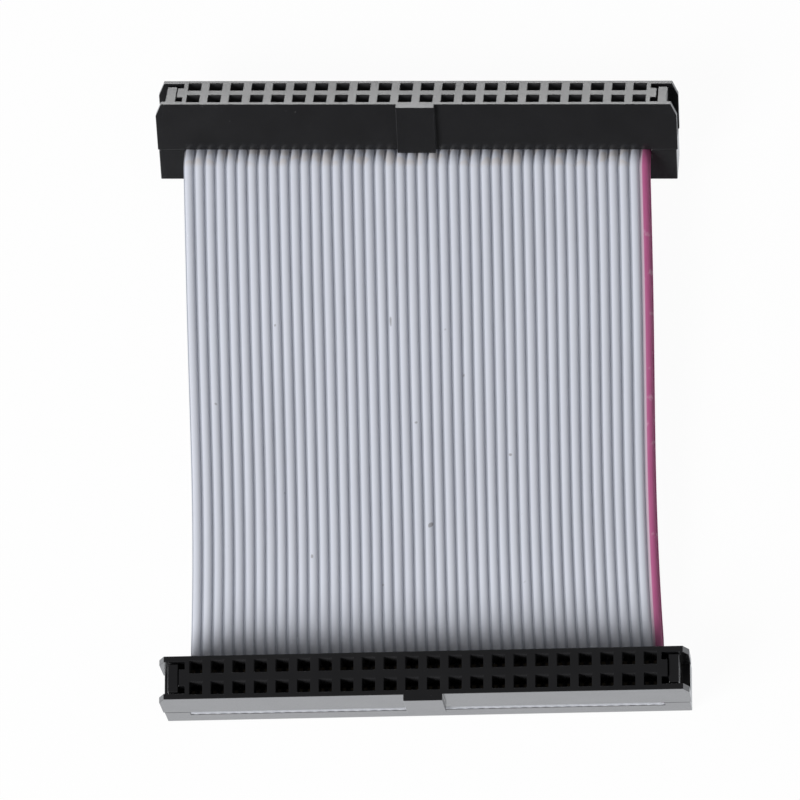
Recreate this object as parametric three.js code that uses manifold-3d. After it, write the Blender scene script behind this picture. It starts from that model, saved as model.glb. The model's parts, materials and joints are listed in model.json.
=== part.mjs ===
// A short flat ribbon cable with a 44-way socket connector pressed on at each end.
//
// Lengths are in millimetres and angles in degrees. X runs along the connectors,
// Y from the near connector to the far one, and Z up from the surface that the
// cable lies on. The near connector lies flat on its cover with its holes up. The
// far one leans back on the rear edge of its cover, because the ribbon holds it.
//
// Each connector is made in a frame of its own: x along its two rows of holes,
// y across them, and z from the outside of its cover up to its mating face.

import * as THREE from 'three';
import { mergeVertices } from 'three/addons/utils/BufferGeometryUtils.js';
import Module from 'manifold-3d';

const wasm = await Module();
wasm.setup();

// Ribbon: side-by-side wires in one moulded sheet, scalloped on both faces
const wireCount = 44;
const wirePitch = 1.0;
const ribbonThickness = 0.9;
const crestWidth = 0.68;
const valleyDepth = 0.2;
const conductorWidth = 0.38;
const channelClearance = 0.03;

// Connector body
const rowPitch = 2.0;
const holeSide = 1.2;
const bodyDepth = 4.1;
const housingHeight = 5.07;
const coverThickness = 2.37;
const earLength = 2.5;
const fit = 0.03;

// Ends of the housing: two thin cheeks with a catch rib between them
const cheekThickness = 0.55;
const cheekChamferX = 0.55;
const cheekChamferZ = 1.3;
const ribLength = 0.55;
const ribWidth = 1.6;
const catchSill = 2.85;
const catchHeight = 0.75;
const catchDepth = 0.3;

// Latch legs of the cover, one between each pair of cheeks
const legGap = 0.09;
const legThickness = 0.95;
const legWidth = 2.7;
const legDrop = 0.2;
const barbWidth = 1.4;
const coverInset = 0.1;

// Polarising key on the front of the housing
const keyWidth = 3.6;
const keyDepth = 0.6;

// Contacts: flat stampings with a pointed fork for the wire and a fork for the pin
const stripThickness = 0.25;
const wireForkWidth = 0.56;
const wireForkCrotch = 0.04;
const tipReach = 0.25;
const pinForkGap = 0.46;
const pinForkDepth = 2.2;
const forkBridge = 0.3;
const contactRecess = 1.8;
const shoulderRise = 0.3;
const tipTroughDepth = 0.4;
const tipTroughWidth = 0.6;

// How the cable lies
const reach = 51.0;
const farLean = 39.1;
const farTurn = -1.5;
const farShift = -0.66;
const exitLength = 0.2;
const bendRadius = 2.0;
const entryLength = 1.5;

// Worked out from the sizes above
const ribbonWidth = wireCount * wirePitch;
const columnPitch = 2 * wirePitch;
const columnCount = wireCount / 2;
const halfDepth = bodyDepth / 2;
const earStart = ribbonWidth / 2 + fit;
const halfLength = earStart + earLength;
const ribbonMiddle = coverThickness + fit + ribbonThickness / 2;
const housingBottom = ribbonMiddle + ribbonThickness / 2 + fit;
const matingFace = housingBottom + housingHeight;
const past = 0.5;

const wireX = (wire) => (wire - (wireCount - 1) / 2) * wirePitch;
const columnX = (column) => (column - (columnCount - 1) / 2) * columnPitch;
const sideOf = (wire) => (wire % 2 === 0 ? -1 : 1);

// A prism with its outline drawn in x and z, standing from yMin to yMax.
function slab(outline, yMin, yMax) {
  const shape = new THREE.Shape(outline.map(([x, z]) => new THREE.Vector2(x, z)));
  const geometry = new THREE.ExtrudeGeometry(shape, { depth: yMax - yMin, bevelEnabled: false });
  return geometry.rotateX(Math.PI / 2).translate(0, yMax, 0);
}

// A block between two opposite corners.
function block([x0, y0, z0], [x1, y1, z1]) {
  return slab([[x0, z0], [x1, z0], [x1, z1], [x0, z1]], y0, y1);
}

// The same outline on both ends of a connector, mirrored in x.
const bothEnds = (outline) => [outline, outline.map(([x, z]) => [-x, z])];

function toSolid(geometry) {
  const bare = geometry.clone();
  bare.deleteAttribute('normal');
  bare.deleteAttribute('uv');
  const merged = mergeVertices(bare, 1e-5);
  return new wasm.Manifold(new wasm.Mesh({
    numProp: 3,
    vertProperties: new Float32Array(merged.attributes.position.array),
    triVerts: new Uint32Array(merged.index.array),
  }));
}

function toGeometry(solid) {
  const mesh = solid.getMesh();
  const geometry = new THREE.BufferGeometry();
  geometry.setAttribute('position', new THREE.BufferAttribute(mesh.vertProperties, 3));
  geometry.setIndex(new THREE.BufferAttribute(mesh.triVerts, 1));
  geometry.computeVertexNormals();
  return geometry;
}

// One geometry with others joined on and others cut away.
function carve(base, joined, cut) {
  let solid = toSolid(base);
  for (const geometry of joined) solid = solid.add(toSolid(geometry));
  for (const geometry of cut) solid = solid.subtract(toSolid(geometry));
  return toGeometry(solid);
}

// Housing: the upper shell, with a hole for each pin and room behind it for a contact.
// The foot of each hole widens towards the wire that its contact reaches for.
function housingGeometry() {
  const chamferTop = halfLength - cheekChamferX;
  const shell = slab([
    [-halfLength, housingBottom], [halfLength, housingBottom],
    [halfLength, matingFace - cheekChamferZ], [chamferTop, matingFace],
    [-chamferTop, matingFace], [-halfLength, matingFace - cheekChamferZ],
  ], -halfDepth, halfDepth);
  const key = block(
    [-keyWidth / 2, -halfDepth - keyDepth, housingBottom],
    [keyWidth / 2, -halfDepth + past, matingFace],
  );

  const recesses = [];
  const ribs = [];
  const catches = [];
  const below = housingBottom - past;
  const above = matingFace + past;
  const ribEnd = earStart + ribLength;
  const sill = housingBottom + catchSill;
  for (const outline of bothEnds([
    [earStart, below], [halfLength + past, below], [halfLength + past, above], [earStart, above],
  ])) recesses.push(slab(outline, cheekThickness - halfDepth, halfDepth - cheekThickness));
  for (const outline of bothEnds([
    [earStart - past, housingBottom], [ribEnd, housingBottom],
    [ribEnd, matingFace], [earStart - past, matingFace],
  ])) ribs.push(slab(outline, -ribWidth / 2, ribWidth / 2));
  for (const outline of bothEnds([
    [ribEnd - catchDepth, sill], [ribEnd + past, sill],
    [ribEnd + past, sill + catchHeight], [ribEnd - catchDepth, sill + catchHeight],
  ])) catches.push(slab(outline, -ribWidth, ribWidth));

  const holes = [];
  const foot = wirePitch / 2 + wireForkWidth / 2 + 2 * fit;
  for (let wire = 0; wire < wireCount; wire++) {
    const side = sideOf(wire);
    const x = columnX(Math.floor(wire / 2));
    const y = side * rowPitch / 2;
    holes.push(slab([
      [x + side * foot, housingBottom], [x + side * foot, below],
      [x - side * holeSide / 2, below], [x - side * holeSide / 2, above],
      [x + side * holeSide / 2, above], [x + side * holeSide / 2, matingFace],
    ], y - holeSide / 2, y + holeSide / 2));
  }
  const open = toSolid(carve(shell, [key], recesses));
  const ribbed = ribs.reduce((solid, rib) => solid.add(toSolid(rib)), open);
  return carve(toGeometry(ribbed), [], [...catches, ...holes]);
}

// Cover: the lower shell that presses the ribbon on to the contacts, with an ear at
// each end, a latch leg on each ear, and a trough for the contacts' tips in each row.
function coverGeometry() {
  const end = halfLength - coverInset;
  const earTop = housingBottom - fit;
  const web = slab([
    [-end, 0], [end, 0], [end, earTop], [earStart, earTop],
    [earStart, coverThickness], [-earStart, coverThickness],
    [-earStart, earTop], [-end, earTop],
  ], -halfDepth, halfDepth);

  const inner = earStart + ribLength + legGap;
  const sill = housingBottom + catchSill + fit;
  const barbDepth = legGap + catchDepth - fit;
  const legs = bothEnds([
    [inner, earTop - past], [inner + legThickness, earTop - past],
    [inner + legThickness, matingFace - legDrop], [inner, matingFace - legDrop],
  ]).map((outline) => slab(outline, -legWidth / 2, legWidth / 2));
  const barbs = bothEnds([
    [inner - barbDepth, sill], [inner + legThickness / 2, sill],
    [inner + legThickness / 2, sill + catchHeight - 2 * fit],
    [inner, sill + catchHeight - 2 * fit],
  ]).map((outline) => slab(outline, -barbWidth / 2, barbWidth / 2));

  const troughs = [-1, 1].map((side) => block(
    [-earStart, side * rowPitch / 2 - tipTroughWidth / 2, coverThickness - tipTroughDepth],
    [earStart, side * rowPitch / 2 + tipTroughWidth / 2, coverThickness + past],
  ));
  return carve(web, [...legs, ...barbs], troughs);
}

// Contact: a flat stamping. Its pointed fork straddles the wire, half a wire pitch
// to one side of the pin hole, and its pin fork stands in the hole above.
function contactGeometry(wire) {
  const side = sideOf(wire);
  const x = columnX(Math.floor(wire / 2));
  const y = side * rowPitch / 2;
  const top = matingFace - contactRecess;
  const shoulder = housingBottom + shoulderRise;
  const tip = ribbonMiddle - ribbonThickness / 2 - tipReach;
  const wide = holeSide / 2 - fit;
  const offset = wirePitch / 2;
  const inStrip = (outline) => slab(
    outline.map(([u, z]) => [x + side * u, z]),
    y - stripThickness / 2, y + stripThickness / 2,
  );
  const blade = inStrip([
    [-wide, top], [wide, top],
    [offset + wireForkWidth / 2, shoulder], [offset + wireForkWidth / 2, tip],
    [offset, ribbonMiddle - conductorWidth / 2 - wireForkCrotch],
    [offset - wireForkWidth / 2, tip], [offset - wireForkWidth / 2, shoulder],
    [-wide, top - pinForkDepth - forkBridge],
  ]);
  const pinFork = block(
    [x - pinForkGap / 2, y - stripThickness, top - pinForkDepth],
    [x + pinForkGap / 2, y + stripThickness, top + past],
  );
  return carve(blade, [], [pinFork]);
}

// Where the two connectors lie
const near = new THREE.Group();
const far = new THREE.Group();
const lean = THREE.MathUtils.degToRad(farLean);
far.rotation.set(-lean, 0, THREE.MathUtils.degToRad(farTurn), 'ZXY');
far.position.set(farShift, reach, halfDepth * Math.sin(lean));
far.updateMatrix();

// Route of the ribbon: straight through the far connector, over a tight bend, down
// along a straight run, and level through the near connector. Each station is a
// point on the middle of the ribbon and the direction across its wires there.
function ribbonStations() {
  const farAcross = new THREE.Vector3(1, 0, 0).transformDirection(far.matrix);
  const nearAcross = new THREE.Vector3(1, 0, 0);
  const farPoint = (y, z) => new THREE.Vector3(0, y, z).applyMatrix4(far.matrix);
  const exit = -halfDepth - exitLength;
  const stations = [{ point: farPoint(halfDepth, ribbonMiddle), across: farAcross }];
  for (const turn of [0, lean]) {
    stations.push({
      point: farPoint(exit - bendRadius * Math.sin(turn), ribbonMiddle - bendRadius * (1 - Math.cos(turn))),
      across: farAcross,
    });
  }
  stations.push({ point: new THREE.Vector3(0, halfDepth + entryLength, ribbonMiddle), across: nearAcross });
  stations.push({ point: new THREE.Vector3(0, -halfDepth, ribbonMiddle), across: nearAcross });

  const headings = stations.slice(1).map(({ point }, i) => point.clone().sub(stations[i].point).normalize());
  stations.forEach((station, i) => {
    const before = headings[Math.max(i - 1, 0)];
    const after = headings[Math.min(i, headings.length - 1)];
    const heading = before.clone().add(after).normalize();
    station.up = heading.clone().cross(station.across).normalize().divideScalar(heading.dot(before));
  });
  return stations;
}
const stations = ribbonStations();

// A section drawn flat, x across the ribbon and y through it, laid along the route.
function layAlongRoute(section) {
  const steps = stations.length - 1;
  const geometry = new THREE.ExtrudeGeometry(section, { depth: steps, steps, bevelEnabled: false });
  const position = geometry.attributes.position;
  const laid = new THREE.Vector3();
  for (let i = 0; i < position.count; i++) {
    const { point, across, up } = stations[Math.round(position.getZ(i))];
    laid.copy(point).addScaledVector(across, position.getX(i)).addScaledVector(up, position.getY(i));
    position.setXYZ(i, laid.x, laid.y, laid.z);
  }
  return geometry;
}

// A four-sided wire section, standing on its corner.
const wireSection = (x, half) => [[x - half, 0], [x, -half], [x + half, 0], [x, half]]
  .map(([u, v]) => new THREE.Vector2(u, v));

// Ribbon insulation: crests and valleys on both faces, a channel along each wire, and
// a slit at each end of each wire where a contact has gone through.
function insulationGeometry() {
  const half = ribbonThickness / 2;
  const face = [new THREE.Vector2(-ribbonWidth / 2, half - valleyDepth)];
  for (let wire = 0; wire < wireCount; wire++) {
    const x = wireX(wire);
    face.push(new THREE.Vector2(x - crestWidth / 2, half));
    face.push(new THREE.Vector2(x + crestWidth / 2, half));
    face.push(new THREE.Vector2(x + wirePitch / 2, half - valleyDepth));
  }
  const underside = face.map(({ x, y }) => new THREE.Vector2(x, -y)).reverse();
  const section = new THREE.Shape([...face, ...underside]);
  for (let wire = 0; wire < wireCount; wire++) {
    section.holes.push(new THREE.Path(wireSection(wireX(wire), conductorWidth / 2 + channelClearance)));
  }

  const slits = [];
  for (let wire = 0; wire < wireCount; wire++) {
    const y = sideOf(wire) * rowPitch / 2;
    const halfWidth = wireForkWidth / 2 + channelClearance;
    const halfStrip = stripThickness / 2 + channelClearance;
    for (const { matrix } of [near, far]) {
      slits.push(block(
        [wireX(wire) - halfWidth, y - halfStrip, ribbonMiddle - ribbonThickness],
        [wireX(wire) + halfWidth, y + halfStrip, ribbonMiddle + ribbonThickness],
      ).applyMatrix4(matrix));
    }
  }
  return carve(layAlongRoute(section), [], slits);
}

// Conductor: one wire of the ribbon, with a contact driven on to it at each end.
function conductorGeometry(wire) {
  const strand = layAlongRoute(new THREE.Shape(wireSection(wireX(wire), conductorWidth / 2)));
  const contacts = [near, far].map(({ matrix }) => contactGeometry(wire).applyMatrix4(matrix));
  return carve(strand, contacts, []);
}

const blackPlastic = new THREE.MeshStandardMaterial({ color: 0x1c1c1e, roughness: 0.42, metalness: 0 });
const greyInsulation = new THREE.MeshStandardMaterial({ color: 0xb4b7c1, roughness: 0.5, metalness: 0 });
const platedBronze = new THREE.MeshStandardMaterial({ color: 0xc8a468, roughness: 0.32, metalness: 1 });

function addMesh(parent, name, geometry, material) {
  const mesh = new THREE.Mesh(geometry, material);
  mesh.name = name;
  parent.add(mesh);
}

const housing = housingGeometry();
const cover = coverGeometry();
addMesh(near, 'near_housing', housing, blackPlastic);
addMesh(near, 'near_cover', cover, blackPlastic);
addMesh(far, 'far_housing', housing.clone(), blackPlastic);
addMesh(far, 'far_cover', cover.clone(), blackPlastic);

const group = new THREE.Group();
group.add(near, far);
addMesh(group, 'ribbon_insulation', insulationGeometry(), greyInsulation);
for (let wire = 0; wire < wireCount; wire++) {
  const number = String(wire + 1).padStart(2, '0');
  addMesh(group, `conductor_${number}`, conductorGeometry(wire), platedBronze);
}

// Bottom centre of the whole cable at the origin
const box = new THREE.Box3().setFromObject(group, true);
const centre = box.getCenter(new THREE.Vector3());
group.position.set(-centre.x, -centre.y, -box.min.z);

export default group;
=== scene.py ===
# %% [markdown]
# A flat ribbon cable with two socket connectors
#
# The cable is a sheet of grey insulation with a wire in each of its ridges, and a
# black two-part connector pressed on at each end. The solid model is loaded first and
# never moves. What follows dresses it: the camera, the ribbon, the connectors with
# their moulded edges, the finishes, and a plain white studio.

# %% The solid model
import json
import math

import bmesh
import bpy
import numpy as np
from mathutils import Matrix, Vector, noise


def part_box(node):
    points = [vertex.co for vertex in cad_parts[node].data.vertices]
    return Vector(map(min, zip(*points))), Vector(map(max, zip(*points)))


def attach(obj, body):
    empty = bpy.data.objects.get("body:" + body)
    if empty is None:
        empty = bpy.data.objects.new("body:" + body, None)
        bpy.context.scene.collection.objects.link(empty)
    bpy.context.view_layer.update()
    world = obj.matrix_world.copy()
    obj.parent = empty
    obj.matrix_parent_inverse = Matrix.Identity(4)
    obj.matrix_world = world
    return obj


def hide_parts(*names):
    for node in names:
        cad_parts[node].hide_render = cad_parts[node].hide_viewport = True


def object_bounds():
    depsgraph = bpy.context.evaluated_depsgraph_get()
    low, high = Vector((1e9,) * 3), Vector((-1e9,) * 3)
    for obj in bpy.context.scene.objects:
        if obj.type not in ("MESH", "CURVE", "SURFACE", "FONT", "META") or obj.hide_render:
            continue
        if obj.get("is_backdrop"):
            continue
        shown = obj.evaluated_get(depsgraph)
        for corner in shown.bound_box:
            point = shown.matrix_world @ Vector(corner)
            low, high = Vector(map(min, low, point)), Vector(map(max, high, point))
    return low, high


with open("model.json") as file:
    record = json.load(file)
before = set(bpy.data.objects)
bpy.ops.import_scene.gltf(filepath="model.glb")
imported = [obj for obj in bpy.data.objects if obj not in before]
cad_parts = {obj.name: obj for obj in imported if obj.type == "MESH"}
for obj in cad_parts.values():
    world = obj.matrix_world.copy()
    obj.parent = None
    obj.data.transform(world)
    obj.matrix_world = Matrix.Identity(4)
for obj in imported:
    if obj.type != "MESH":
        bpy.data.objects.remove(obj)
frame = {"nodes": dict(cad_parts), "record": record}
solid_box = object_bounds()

MM = 0.001

# %% [markdown]
# Everything is in metres, so a millimetre is written as MM. The two connectors are
# the same moulding, so one set of sizes serves both. Their places come from the
# solid model: the near one lies square to the axes, and the far one is found from
# the flat face that its record gives, which says where it is and how far it leans.

# %% Sizes and places
WIRES = 44
PITCH = 1.0 * MM
RIBBON_HALF_THICK = 0.45 * MM
RIBBON_MIDDLE = 2.85 * MM
BODY_HALF_DEPTH = 2.05 * MM

cover_low, cover_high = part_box("near_cover")
MATING_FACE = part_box("near_housing")[1].z
near_place = Matrix.Translation(((cover_low.x + cover_high.x) / 2, (cover_low.y + cover_high.y) / 2, 0))

mounts = {mount["name"]: mount for mount in frame["record"]["mounts"]}
far_axis = Vector(mounts["far_mating_face"]["axis"])
far_lean = math.acos(far_axis.z)
far_turn = -math.atan2(far_axis.x, far_axis.y)
far_place = (
    Matrix.Translation(Vector(mounts["far_mating_face"]["pos_m"]) - far_axis * MATING_FACE)
    @ Matrix.Rotation(far_turn, 4, "Z")
    @ Matrix.Rotation(-far_lean, 4, "X")
)
print("far connector leans", round(math.degrees(far_lean), 2), "and turns", round(math.degrees(far_turn), 2))

# %% [markdown]
# The camera stands high above the near connector and a little to its right, a long
# way off behind a long lens, because the two connectors show almost the same scale.
# It is rolled so that the near connector lies nearly level in the picture.

# %% Camera
camera_rise = math.radians(73.51)
camera_swing = math.radians(15.57)
camera_roll = math.radians(-16.29)
camera_distance = 814.5 * MM
camera_target = Vector((-2.16, -0.245, 3.0)) * MM
camera_lens = 391.7


def deselect():
    bpy.ops.object.select_all(action="DESELECT")


camera_turn = (
    Matrix.Rotation(camera_swing, 4, "Z")
    @ Matrix.Rotation(math.pi / 2 - camera_rise, 4, "X")
    @ Matrix.Rotation(camera_roll, 4, "Z")
)
deselect()
bpy.ops.object.camera_add(
    location=camera_target + camera_turn.to_3x3() @ Vector((0, 0, camera_distance)),
    rotation=camera_turn.to_euler(),
)
camera = bpy.context.object
camera.name = "camera"
camera.data.lens = camera_lens
camera.data.sensor_width = 36
camera.data.clip_start, camera.data.clip_end = 0.01, 20
bpy.context.scene.camera = camera
print("camera at", [round(v, 4) for v in camera.location])

# %% [markdown]
# The ribbon's route
#
# The ribbon runs straight through the far connector, folds over in a tight bend as
# soon as it is out, comes down at a shallow slope, and goes level through the near
# connector. A Curve modifier could carry a flat ribbon along such a route, but it
# must pass through slots that clear it by a few hundredths of a millimetre, so each
# row of its points is carried on to the route in code. A row is a point on the
# middle of the ribbon, the direction across it, and the direction up through it.

# %% Route
EXIT = 0.2 * MM
BEND_RADIUS = 2.0 * MM
ENTRY = 1.5 * MM
ENTRY_EASE = 1.3 * MM
END_GAP = 0.02 * MM
SLOPE = math.radians(3.2)
CONNECTOR_ROWS = 4
BEND_ROWS = 13
SLOPE_ROWS = 45
EASE_ROWS = 5


def far_row(y, z, lean):
    """A row in the far connector's own frame, leaned over by an angle."""
    turn = far_place.to_3x3()
    up = turn @ Vector((0, -math.sin(lean), math.cos(lean)))
    return far_place @ Vector((0, y, z)), turn @ Vector((1, 0, 0)), up


def near_row(y):
    return near_place @ Vector((0, y, RIBBON_MIDDLE)), Vector((1, 0, 0)), Vector((0, 0, 1))


def ribbon_rows():
    """The rows of the ribbon from its far cut end to its near one."""
    exit_y = -BODY_HALF_DEPTH - EXIT
    entry, entry_across, _ = near_row(BODY_HALF_DEPTH + ENTRY)
    far_ys = np.linspace(BODY_HALF_DEPTH - END_GAP, exit_y, CONNECTOR_ROWS)
    rows = [far_row(y, RIBBON_MIDDLE, 0) for y in far_ys]
    for lean in np.linspace(0, far_lean + SLOPE, BEND_ROWS)[1:]:
        rows.append(far_row(
            exit_y - BEND_RADIUS * math.sin(lean),
            RIBBON_MIDDLE - BEND_RADIUS * (1 - math.cos(lean)), lean,
        ))
    start, start_across, _ = rows[-1]
    heading = (entry - start).normalized()
    ease_start = entry - heading * ENTRY_EASE
    for t in np.linspace(0, 1, SLOPE_ROWS)[1:]:
        across = start_across.lerp(entry_across, t).normalized()
        rows.append((start.lerp(ease_start, t), across, heading.cross(across).normalized()))
    for t in np.linspace(0, 1, EASE_ROWS)[1:]:
        turned = heading.lerp(Vector((0, -1, 0)), t)
        point = ease_start + (heading * (2 * t - t * t) + Vector((0, -1, 0)) * t * t) * ENTRY_EASE
        rows.append((point, entry_across, turned.cross(entry_across).normalized()))
    level_y = BODY_HALF_DEPTH + ENTRY - ENTRY_EASE
    near_ys = np.linspace(level_y, END_GAP - BODY_HALF_DEPTH, CONNECTOR_ROWS)
    return rows + [near_row(y) for y in near_ys[1:]]


rows = ribbon_rows()
row_distance = [0.0]
for (a, _, _), (b, _, _) in zip(rows, rows[1:]):
    row_distance.append(row_distance[-1] + (b - a).length)
print("ribbon rows", len(rows), "length mm", round(row_distance[-1] / MM, 2))

# %% [markdown]
# The ribbon
#
# The insulation is drawn round each wire and joined to its neighbours by a thin flat
# web, so a ridge is half of an ellipse with a strip of web on either side. A single
# tile of it, one wire wide and one row long, is made from a circle. Two Array
# modifiers repeat the tile across and along, a Mirror modifier gives the underside,
# and the open rims are bridged to close the edges and the cut ends.

# %% Ribbon sheet
WEB_HALF_THICK = 0.16 * MM
WEB_WIDTH = 0.2 * MM
ARC_POINTS = 10
TOUCH = 0.01 * MM


def apply_modifier(piece, kind, **settings):
    modifier = piece.modifiers.new(kind.title(), kind)
    for name, value in settings.items():
        setattr(modifier, name, value)
    bpy.context.view_layer.objects.active = piece
    bpy.ops.object.modifier_apply(modifier=modifier.name)


def select_points(piece, wanted):
    """In edit mode, select the points for which wanted(place) is true."""
    bpy.ops.mesh.select_mode(type="VERT")
    bpy.ops.mesh.select_all(action="DESELECT")
    mesh = bmesh.from_edit_mesh(piece.data)
    for vert in mesh.verts:
        vert.select = wanted(vert.co)
    mesh.select_flush_mode()
    bmesh.update_edit_mesh(piece.data)


def ribbon_sheet():
    """The flat ribbon: x across it from 0, y in rows of 1 mm, z through it."""
    ridge = (PITCH - WEB_WIDTH) / 2
    deselect()
    bpy.ops.mesh.primitive_circle_add(
        vertices=2 * ARC_POINTS, radius=ridge, rotation=(math.pi / 2, 0, 0),
        location=(PITCH / 2, 0, WEB_HALF_THICK),
    )
    bpy.ops.object.transform_apply(location=True, rotation=True, scale=True)
    sheet = bpy.context.object
    sheet.name = "ribbon"
    bpy.ops.object.mode_set(mode="EDIT")
    select_points(sheet, lambda place: place.z < WEB_HALF_THICK - TOUCH)
    bpy.ops.mesh.delete(type="VERT")
    bpy.ops.mesh.select_all(action="SELECT")
    bpy.ops.transform.resize(
        value=(1, 1, (RIBBON_HALF_THICK - WEB_HALF_THICK) / ridge),
        center_override=(PITCH / 2, 0, WEB_HALF_THICK),
    )
    for side in (-1, 1):
        select_points(sheet, lambda place: side * (place.x - PITCH / 2) > ridge - TOUCH)
        web = (side * WEB_WIDTH / 2, 0, 0)
        bpy.ops.mesh.extrude_region_move(TRANSFORM_OT_translate={"value": web})
    bpy.ops.mesh.select_all(action="SELECT")
    bpy.ops.mesh.extrude_edges_move(TRANSFORM_OT_translate={"value": (0, MM, 0)})
    bpy.ops.object.mode_set(mode="OBJECT")
    apply_modifier(
        sheet, "ARRAY", count=WIRES, use_relative_offset=False, use_constant_offset=True,
        constant_offset_displace=(PITCH, 0, 0), use_merge_vertices=True, merge_threshold=TOUCH,
    )
    apply_modifier(
        sheet, "ARRAY", count=len(rows) - 1, use_relative_offset=False, use_constant_offset=True,
        constant_offset_displace=(0, MM, 0), use_merge_vertices=True, merge_threshold=TOUCH,
    )
    apply_modifier(sheet, "MIRROR", use_axis=(False, False, True), use_mirror_merge=False)
    bpy.ops.object.mode_set(mode="EDIT")
    bpy.ops.mesh.select_all(action="DESELECT")
    bpy.ops.mesh.select_mode(type="EDGE")
    mesh = bmesh.from_edit_mesh(sheet.data)
    for edge in mesh.edges:
        edge.select = edge.is_boundary
    bmesh.update_edit_mesh(sheet.data)
    bpy.ops.mesh.bridge_edge_loops()
    bpy.ops.object.mode_set(mode="OBJECT")
    return sheet


ribbon = ribbon_sheet()
print("ribbon sheet faces", len(ribbon.data.polygons))

# %% [markdown]
# The finish has to follow the wires, so each point of the sheet keeps its place on
# the flat ribbon as a UV map before the sheet is bent: U counts wires and V counts
# millimetres from the far end. Then each point goes on to the route. Real wires
# wander a little from side to side and the sheet is never quite flat, so both get a
# slow, faint wave, which grows and dies out over some millimetres away from the
# connectors. The sheet is a little narrower in its free stretch than at its ends.
# Inside the connectors the press has squeezed the ridges almost flat. The route runs
# towards -y, which turns the sheet inside out, so its normals are recalculated last.
# Lengths along the ribbon are in millimetres here, as V is.

# %% Ribbon on its route
WANDER = 0.035 * MM
WANDER_RATES = (0.31, 0.05)
BILLOW = 0.1 * MM
BILLOW_RATES = (0.045, 0.035)
STILL_LENGTH = 8.0
WAVE_GROWTH = 8.0
NARROWING = 0.0135
FULL_WIDTH_LENGTH = 6.0
PRESSED_HALF_THICK = 0.36 * MM
ROWS_IN_CONNECTOR = 3
SMOOTH_ANGLE = math.radians(50)


def clip(value):
    return max(0.0, min(1.0, value))


def slow_wave(wire, along, rates, layer):
    """Smooth noise over the flat sheet; each layer is a pattern of its own."""
    per_wire, per_millimetre = rates
    return noise.noise(Vector((wire * per_wire, along * per_millimetre, layer)))


def lay_on_route(sheet):
    points = np.empty(len(sheet.data.vertices) * 3)
    sheet.data.vertices.foreach_get("co", points)
    points = points.reshape(-1, 3)
    wire = points[:, 0] / PITCH
    row = np.rint(points[:, 1] / MM).astype(int)
    along = np.array(row_distance)[row] / MM

    uv_layer = sheet.data.uv_layers.new(name="wires")
    corner = np.empty(len(sheet.data.loops), dtype=int)
    sheet.data.loops.foreach_get("vertex_index", corner)
    uv_layer.data.foreach_set("uv", np.column_stack([wire[corner], along[corner]]).ravel())

    total = row_distance[-1] / MM
    for i, (x, _, z) in enumerate(points):
        place, across, up = rows[row[i]]
        if min(row[i], len(rows) - 1 - row[i]) < ROWS_IN_CONNECTOR:
            z = math.copysign(max(abs(z), PRESSED_HALF_THICK), z)
        from_end = min(along[i], total - along[i])
        free = clip((from_end - STILL_LENGTH) / WAVE_GROWTH)
        wave = slow_wave(wire[i], along[i], WANDER_RATES, layer=3.0)
        lift = slow_wave(wire[i], along[i], BILLOW_RATES, layer=9.0)
        free_part = clip((along[i] - FULL_WIDTH_LENGTH) / (total - 2 * FULL_WIDTH_LENGTH))
        waist = math.sin(math.pi * free_part ** 2)
        side = (x - WIRES * PITCH / 2) * (1 - NARROWING * waist) + WANDER * free * wave
        points[i] = place + across * side + up * (z + BILLOW * free * lift)
    sheet.data.vertices.foreach_set("co", points.ravel())
    sheet.data.update()
    bpy.context.view_layer.objects.active = sheet
    deselect()
    sheet.select_set(True)
    bpy.ops.object.mode_set(mode="EDIT")
    bpy.ops.mesh.select_all(action="SELECT")
    bpy.ops.mesh.normals_make_consistent(inside=False)
    bpy.ops.object.mode_set(mode="OBJECT")
    bpy.ops.object.shade_smooth_by_angle(angle=SMOOTH_ANGLE)


lay_on_route(ribbon)
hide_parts("ribbon_insulation")
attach(ribbon, "root")
print("ribbon triangles", sum(len(face.vertices) - 2 for face in ribbon.data.polygons))

# %% [markdown]
# The connectors
#
# The mouldings have the right shape already, but every edge of theirs is knife-sharp,
# and a real moulding has a small radius that catches the light. A copy of the near
# housing is merged, its flat faces are made whole again by a limited dissolve, and a
# Bevel modifier rounds every edge. The same is done to the near cover. The faces are
# shaded flat, because smooth shading would bend the light across the large ones. The
# far connector is the same pair of mouldings, so it is a copy that is moved into
# place. Modelling them afresh would only repeat the shape.

# %% Mouldings with soft edges
HOUSING_RADIUS = 0.045 * MM
COVER_RADIUS = 0.08 * MM
SAME_POINT = 0.001 * MM
FLAT_ANGLE = math.radians(1)
EDGE_ANGLE = math.radians(15)


def soften(node_name, radius):
    """A copy of a node of the solid model, with its edges rounded."""
    deselect()
    mesh = bpy.data.objects[node_name].data.copy()
    moulding = bpy.data.objects.new(node_name + "_moulding", mesh)
    bpy.context.scene.collection.objects.link(moulding)
    moulding.select_set(True)
    bpy.context.view_layer.objects.active = moulding
    bpy.ops.object.mode_set(mode="EDIT")
    bpy.ops.mesh.select_all(action="SELECT")
    bpy.ops.mesh.remove_doubles(threshold=SAME_POINT)
    bpy.ops.mesh.dissolve_limited(angle_limit=FLAT_ANGLE)
    bpy.ops.object.mode_set(mode="OBJECT")
    apply_modifier(
        moulding, "BEVEL", width=radius, segments=2, limit_method="ANGLE",
        angle_limit=EDGE_ANGLE, use_clamp_overlap=False,
    )
    bpy.ops.object.shade_flat()
    return moulding


def copy_to_far_end(moulding, name):
    deselect()
    moulding.select_set(True)
    bpy.context.view_layer.objects.active = moulding
    bpy.ops.object.duplicate()
    twin = bpy.context.object
    twin.name = name
    twin.matrix_world = far_place @ near_place.inverted()
    bpy.ops.object.transform_apply(location=True, rotation=True, scale=True)
    return twin


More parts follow.
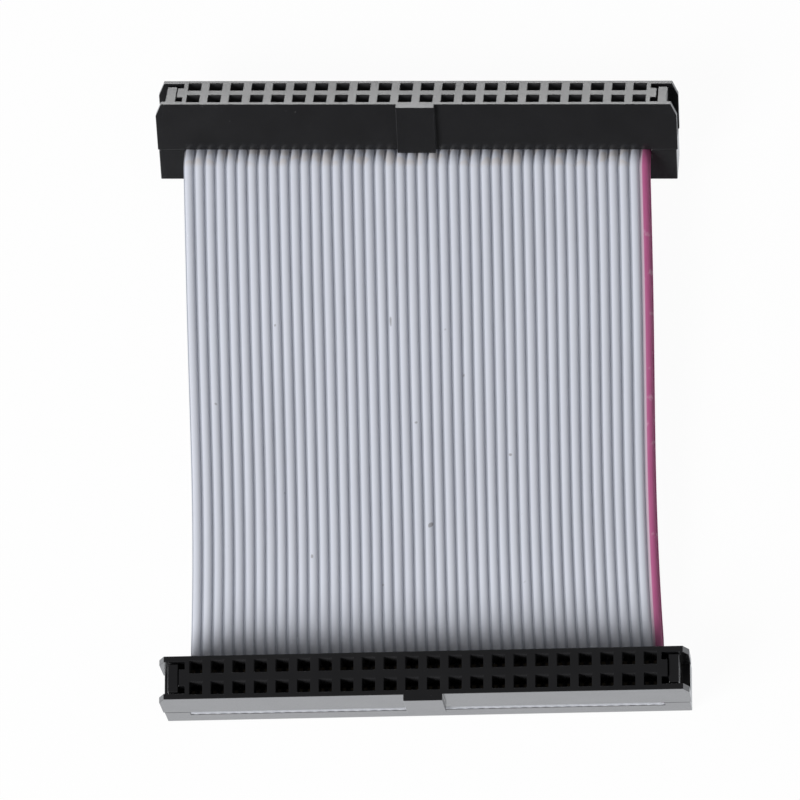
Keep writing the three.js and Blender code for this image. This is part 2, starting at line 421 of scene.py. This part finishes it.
mouldings = []
for piece, radius in (("housing", HOUSING_RADIUS), ("cover", COVER_RADIUS)):
    near = soften("near_" + piece, radius)
    far = copy_to_far_end(near, "far_" + piece + "_moulding")
    mouldings += [(near, near_place), (far, far_place)]
for moulding, _ in mouldings:
    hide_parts(moulding.name.removesuffix("_moulding"))
    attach(moulding, "root")
    print(moulding.name, "faces", len(moulding.data.polygons))

# %% [markdown]
# Finishes
#
# A finish is a small network of shader nodes. Two helpers keep it readable: Strand
# wraps the output of a node so that sums and products can be written as sums and
# products, and Finish holds the nodes of a material, or of the world, and adds any
# other node to them.

# %% Shader helpers
class Strand:
    """A node's output that can be added, multiplied and so on."""

    def __init__(self, finish, output):
        self.finish, self.output = finish, output

    def reckon(self, operation, *values):
        return self.finish.add("Math", {"operation": operation}, dict(enumerate(values)))

    def __add__(self, other):
        return self.reckon("ADD", self, other)

    def __sub__(self, other):
        return self.reckon("SUBTRACT", self, other)

    def __rsub__(self, other):
        return self.reckon("SUBTRACT", other, self)

    def __mul__(self, other):
        return self.reckon("MULTIPLY", self, other)

    def __gt__(self, other):
        return self.reckon("GREATER_THAN", self, other)

    def __lt__(self, other):
        return self.reckon("LESS_THAN", self, other)

    def __abs__(self):
        return self.reckon("ABSOLUTE", self)

    __radd__ = __add__
    __rmul__ = __mul__

    def fraction(self):
        return self.reckon("FRACT", self)


class Finish:
    """The nodes of a material or a world, and a short way to add to them."""

    def __init__(self, owner, **fixed):
        self.owner = owner
        owner.use_nodes = True
        self.tree = owner.node_tree
        main_kinds = ("BSDF_PRINCIPLED", "BACKGROUND")
        self.shader = next(node for node in self.tree.nodes if node.type in main_kinds)
        self.feed(**fixed)

    def plug(self, socket, value):
        if isinstance(value, Strand):
            self.tree.links.new(value.output, socket)
        else:
            socket.default_value = value

    def feed(self, **sockets):
        """Set or link sockets of the main shader; Base_Color stands for Base Color."""
        for name, value in sockets.items():
            self.plug(self.shader.inputs[name.replace("_", " ")], value)

    def add(self, kind, settings, sockets, output=0):
        """Add a node: its settings first, then the values or links of its sockets."""
        node = self.tree.nodes.new("ShaderNode" + kind)
        for name, value in settings.items():
            setattr(node, name, value)
        for socket, value in sockets.items():
            self.plug(node.inputs[socket], value)
        return Strand(self, node.outputs[output])

    def place(self):
        """The place on the piece, which is also its place in the model."""
        return self.add("TexCoord", {}, {}, "Object")

    def blend(self, amount, first, second):
        """Colours mixed by an amount from 0 to 1."""
        return self.add("Mix", {"data_type": "RGBA"}, {0: amount, 6: first, 7: second}, 2)

    def grain(self, place, size, detail=2.0):
        """Noise from 0 to 1 with features of about the given size."""
        return self.add("TexNoise", {}, {"Vector": place, "Scale": 1 / size, "Detail": detail})

    def spread(self, value, low, high):
        """0 at low, 1 at high, and smooth between."""
        return self.add(
            "MapRange", {"interpolation_type": "SMOOTHSTEP"},
            {"Value": value, "From Min": low, "From Max": high, "To Min": 0.0, "To Max": 1.0},
        )

    def relief(self, height, strength):
        """A fine roughness of the skin."""
        return self.add("Bump", {}, {"Height": height, "Strength": strength, "Distance": 0.02 * MM})

    def past(self, place, start, direction):
        """1 where the place lies past a start point in a direction, otherwise 0."""
        reach = self.add("VectorMath", {"operation": "DOT_PRODUCT"}, {0: place, 1: direction}, "Value")
        return reach > Vector(direction).dot(start)


# %% [markdown]
# Black moulded polyester. It is filled with glass, so its skin is a satin with a very
# fine grain, a little duller where it has been handled, and it carries a few specks
# of dust. Object coordinates hold the pattern still on each moulding. The walls of the
# pin holes get the same finish with a greyer base, which is painted light that lifts
# them out of black. Their faces are told apart by their place in the
# connector's own frame: between the rows' outer walls, above the ribbon, and below
# the lip of the hole.

# %% Black plastic
def black_plastic(name, darker, paler):
    finish = Finish(bpy.data.materials.new(name), IOR=1.5)
    place = finish.place()
    cloud = finish.grain(place, 3 * MM, detail=3.0)
    skin = finish.grain(place, 0.09 * MM)
    dust = finish.spread(finish.grain(place, 0.3 * MM, detail=1.0), 0.78, 0.84)
    colour = finish.blend(cloud, darker, paler)
    colour = finish.blend(dust * 0.25, colour, (0.2, 0.2, 0.2, 1))
    finish.feed(
        Base_Color=colour,
        Roughness=0.15 + 0.08 * cloud + 0.04 * skin + 0.2 * dust,
        Normal=finish.relief(skin, 0.05),
    )
    return finish.owner


HOLES_HALF_DEPTH = 1.75 * MM
HOLE_LIP = 0.1 * MM


def lies_in_a_hole(place):
    in_rows = abs(place.x) < WIRES * PITCH / 2 and abs(place.y) < HOLES_HALF_DEPTH
    return in_rows and RIBBON_MIDDLE < place.z < MATING_FACE - HOLE_LIP


plastic = black_plastic("black_plastic", (0.0095, 0.0095, 0.0105, 1), (0.0135, 0.0135, 0.0148, 1))
# Painted light: the hole walls get a greyer base, so the deep holes do not render pure black.
hole_plastic_painted_lighter = black_plastic("black_plastic_in_holes", (0.04, 0.04, 0.043, 1), (0.06, 0.06, 0.063, 1))
for piece, connector_place in mouldings:
    piece.data.materials.clear()
    piece.data.materials.append(plastic)
    piece.data.materials.append(hole_plastic_painted_lighter)
    to_connector = connector_place.inverted()
    for face in piece.data.polygons:
        face.material_index = int(lies_in_a_hole(to_connector @ face.center))
    print(piece.name, "faces in holes", sum(face.material_index for face in piece.data.polygons))

# %% [markdown]
# Ribbon insulation. The PVC is a cool light grey with a soft satin shine. The valleys
# between the wires are darker, partly with dirt and partly with painted shade, each wire
# is a little lighter or darker than the next, the sheet is a little darker towards its
# near end, and warm patches, partly a stain and partly a painted warm highlight, lie in
# the bend where it leaves the far connector.
# The last wire is dyed magenta to mark the first way. Its dye fades to a pale pink
# along its inner side and is scuffed here and there. Both cut ends are a dull grey.

# %% Grey and magenta insulation
# The warm stain and painted warm highlight cover the ribbon from its far end and fade out between these
# millimetres along it, at the end of the bend.
WARM_PATCH_START = 5.3
WARM_PATCH_END = 5.9
DIMMING_START = 8.0
DIMMING_END = 48.0
CUT_DEPTH = 0.01


def grey_insulation():
    finish = Finish(bpy.data.materials.new("grey_insulation"), IOR=1.5)
    uv = finish.add("UVMap", {"uv_map": "wires"}, {})
    wire = finish.add("SeparateXYZ", {}, {0: uv}, "X")
    along = finish.add("SeparateXYZ", {}, {0: uv}, "Y")
    place = finish.place()

    # The valley mask marks where the sheet dips between the wires: it makes them rougher and, below, darker.
    valley = finish.spread(abs(wire.fraction() - 0.5), 0.33, 0.43)
    streak = finish.add("CombineXYZ", {}, {"X": wire, "Y": along * 0.06})
    tone = finish.grain(streak, 0.77)
    cloud = finish.grain(place, 9 * MM, detail=3.0)
    skin = finish.grain(place, 0.12 * MM)
    speck = finish.spread(finish.grain(place, 1.1 * MM, detail=0.0), 0.86, 0.9)
    patches = finish.spread(finish.grain(place, 1.3 * MM, detail=1.0), 0.45, 0.6)
    # Mask of the warm stain and painted warm highlight in the bend out of the far connector.
    warm_stain_and_highlight = finish.spread(along, WARM_PATCH_END, WARM_PATCH_START) * patches
    dimming = finish.spread(along, DIMMING_START, DIMMING_END)

    grey = finish.blend(tone, (0.64, 0.665, 0.745, 1), (0.73, 0.76, 0.845, 1))
    grey = finish.blend(cloud * 0.35, grey, (0.62, 0.64, 0.70, 1))
    grey = finish.blend(dimming * 0.05, grey, (0, 0, 0, 1))
    # Painted warm highlight, partly a stain, where the ribbon bends out of the far connector.
    grey = finish.blend(warm_stain_and_highlight * 0.6, grey, (0.66, 0.62, 0.60, 1))
    # Painted shade, partly dirt: the valleys between the wires are darkened.
    grey = finish.blend(valley * 0.5, grey, (0.27, 0.29, 0.34, 1))
    grey = finish.blend(speck * 0.6, grey, (0.16, 0.15, 0.15, 1))

    edge = WIRES - 1.0
    dye = finish.grain(streak, 0.17, detail=3.0)
    dyed = finish.blend(dye, (0.37, 0.06, 0.19, 1), (0.50, 0.14, 0.29, 1))
    scuffed = finish.spread(finish.grain(place, 1.6 * MM, detail=3.0), 0.62, 0.72)
    dyed = finish.blend(scuffed * 0.5, dyed, (0.62, 0.42, 0.52, 1))
    dyed = finish.blend(finish.spread(wire, edge + 0.12, edge + 0.3), (0.60, 0.48, 0.56, 1), dyed)
    colour = finish.blend(finish.spread(wire, edge - 0.06, edge + 0.04), grey, dyed)
    cut = (along > row_distance[-1] / MM - CUT_DEPTH) + (along < CUT_DEPTH)
    colour = finish.blend(cut, colour, (0.42, 0.43, 0.47, 1))

    finish.feed(
        Base_Color=colour,
        Roughness=0.42 + 0.12 * cloud + 0.15 * valley,
        Normal=finish.relief(skin, 0.12),
    )
    return finish.owner


ribbon.data.materials.clear()
ribbon.data.materials.append(grey_insulation())
print("insulation on", ribbon.name)

# %% [markdown]
# Contacts and wire. The contacts are spring bronze, and only their fork tips show, deep
# in the pin holes. Their colour is painted nearly black, with a little tarnish, as painted
# shade for the depth of the holes. The wires are tinned copper and show as dots in the
# cut ends of the ribbon, where a mask on the place turns the warm metal grey. The solid
# model's own conductors have the right shape, so they keep it.

# %% Plated bronze
WIRE_END = 1.5 * MM


def plated_bronze():
    finish = Finish(bpy.data.materials.new("plated_bronze"), Metallic=1.0)
    place = finish.place()
    near_end = finish.past(place, near_place @ Vector((0, -WIRE_END, 0)), Vector((0, -1, 0)))
    far_across = far_place.to_3x3() @ Vector((0, 1, 0))
    far_end = finish.past(place, far_place @ Vector((0, WIRE_END, 0)), far_across)
    tarnish = finish.grain(place, 0.8 * MM, detail=4.0)
    # Painted shade: both colours are nearly black, darker than plated bronze, so the fork tips stay dark
    # deep in the holes; the noise between them is tarnish.
    colour = finish.blend(tarnish, (0.12, 0.10, 0.07, 1), (0.07, 0.06, 0.045, 1))
    colour = finish.blend(near_end + far_end, colour, (0.55, 0.56, 0.58, 1))
    finish.feed(Base_Color=colour, Roughness=0.45 + 0.25 * tarnish)
    return finish.owner


bronze = plated_bronze()
conductors = [bpy.data.objects[name] for name in frame["nodes"] if name.startswith("conductor_")]
for conductor in conductors:
    conductor.data.materials.clear()
    conductor.data.materials.append(bronze)
print("bronze on", len(conductors), "conductors")

# %% [markdown]
# The studio is a white table in a white tent. The tent is dim overhead, which keeps
# flat black plastic black when it is seen from above, and the table shines in the
# black plastic when it is seen at a slant. The camera sees plain white behind the
# cable, and the table keeps a faint shadow. Light Path nodes tell the rays apart: in
# the table they set the factor of a Mix Shader, and in the tent they set its strength.

# %% Table and tent
TABLE_SIZE = 260 * MM
SEEN_WHITE = 0.96
GLOSS_SHARE = 0.5
GLOSS_COLOUR = (0.93, 0.955, 1.0, 1)
GLOSS_STRENGTH = 1.95
TENT_STRENGTH = 0.12

deselect()
bpy.ops.mesh.primitive_plane_add(size=TABLE_SIZE, location=(0, 0, 0))
table_top = bpy.context.object
table_top.name = "table"
table_top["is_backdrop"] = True

table = Finish(bpy.data.materials.new("white_table"), Roughness=0.9, Base_Color=(0.9, 0.9, 0.9, 1))
to_camera = table.add("LightPath", {}, {}, "Is Camera Ray")
in_gloss = table.add("LightPath", {}, {}, "Is Glossy Ray")
lit = Strand(table, table.shader.outputs[0])
white = table.add("Emission", {}, {"Color": (1, 1, 1, 1), "Strength": 1.0})
glow = table.add("Emission", {}, {"Color": GLOSS_COLOUR, "Strength": GLOSS_STRENGTH})
look = table.add("MixShader", {}, {0: to_camera * SEEN_WHITE, 1: lit, 2: white})
look = table.add("MixShader", {}, {0: in_gloss * GLOSS_SHARE, 1: look, 2: glow})
table.plug(table.tree.nodes["Material Output"].inputs["Surface"], look)
table_top.data.materials.append(table.owner)

tent = Finish(bpy.data.worlds.new("tent"), Color=(1, 1, 1, 1))
tent.feed(Strength=TENT_STRENGTH + (1 - TENT_STRENGTH) * tent.add("LightPath", {}, {}, "Is Camera Ray"))
bpy.context.scene.world = tent.owner
print("table and tent made")

# %% [markdown]
# Three soft boxes light the cable. The key stands in front and to the left, so that
# each ridge of the ribbon is bright on its left and falls off to its right. A weak
# fill stands on the right, and a low strip behind puts the sheen on the far
# connector's mating face. It stands close, so it lights gloss alone, or it would
# bleach the far cut end of the ribbon.

# %% Lamps
CABLE_MIDDLE = (0, 0, 0)
STRIP_HEIGHT = 0.022


def soft_box(name, place, aim, width, height, watts):
    deselect()
    bpy.ops.object.light_add(type="AREA", location=place)
    lamp = bpy.context.object
    lamp.name = name
    lamp.rotation_euler = (Vector(aim) - Vector(place)).to_track_quat("-Z", "Y").to_euler()
    lamp.data.shape = "RECTANGLE"
    lamp.data.size, lamp.data.size_y = width, height
    lamp.data.energy = watts
    lamp.visible_camera = False
    return lamp


key_box = soft_box("key_box", (-0.50, -0.434, 0.530), CABLE_MIDDLE, 0.45, 0.45, 7.65)
fill_box = soft_box("fill_box", (0.45, -0.25, 0.5), CABLE_MIDDLE, 0.4, 0.4, 0.6)
back_strip = soft_box("back_strip", (0, 0.15, STRIP_HEIGHT), (0, 0, STRIP_HEIGHT), 0.3, 0.04, 0.57)
back_strip.visible_diffuse = False
print("lamps", [lamp.name for lamp in (key_box, fill_box, back_strip)])

# %% [markdown]
# The view transform is Standard, so that a colour renders as it is written. The box of
# the solid model and that of the dressed one are kept side by side for comparison.

# %% Closing
bpy.context.scene.view_settings.view_transform = "Standard"
dressed_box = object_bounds()
for title, (low, high) in (("solid", solid_box), ("dressed", dressed_box)):
    print(title, "size mm", [round(value / MM, 2) for value in high - low])
